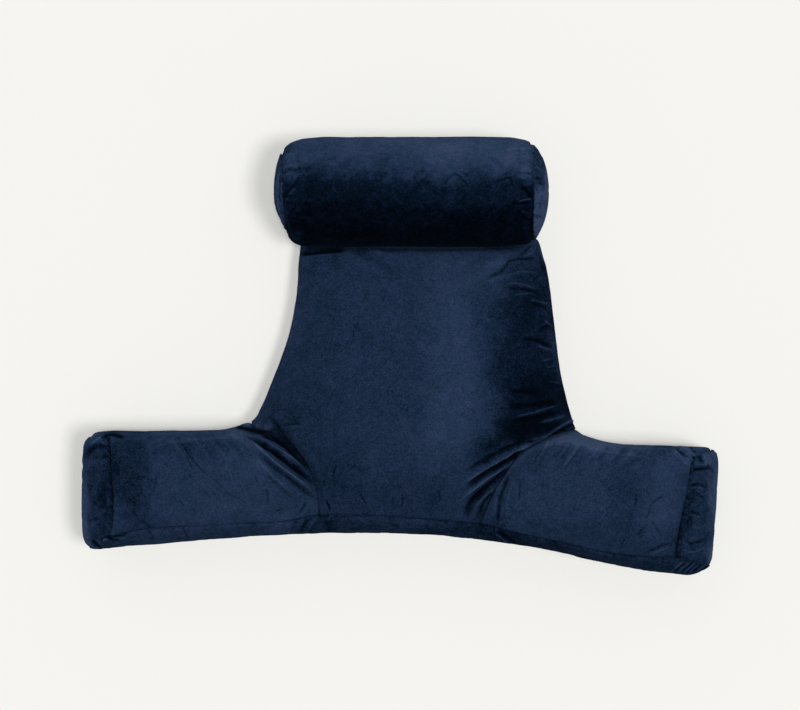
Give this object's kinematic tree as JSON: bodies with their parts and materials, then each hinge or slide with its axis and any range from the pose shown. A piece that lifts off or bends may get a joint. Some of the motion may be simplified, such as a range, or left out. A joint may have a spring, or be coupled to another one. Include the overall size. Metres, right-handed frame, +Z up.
{
  "type": "reading pillow with arms and neck roll",
  "caption": "Stuffed velvet bed-rest pillow lying on its back: a backrest that widens downwards, box arms spread to both sides, and a bolster neck roll at its head.",
  "frame": {"origin": "middle of the pillow's bounding box, on the surface that it lies on", "axes": "+X along the spread arms, to the right as seen from above; +Y from the foot of the backrest to the neck roll; +Z up, out of the front panel"},
  "size_m": [0.9225, 0.6342, 0.1575],
  "materials": {
    "panel_velvet": "short-pile navy velvet, matt with a soft sheen",
    "gusset_velvet": "short-pile navy velvet, nap lying the other way, a little darker",
    "roll_velvet": "short-pile navy velvet, soft sheen along its top"
  },
  "bodies": {
    "root": {"backrest": "panel_velvet", "arm_left": "panel_velvet", "arm_right": "panel_velvet", "bottom_gusset": "gusset_velvet", "end_panel_left": "gusset_velvet", "end_panel_right": "gusset_velvet", "neck_roll": "roll_velvet", "roll_end_left": "roll_velvet", "roll_end_right": "roll_velvet"}
  },
  "joints": []
}
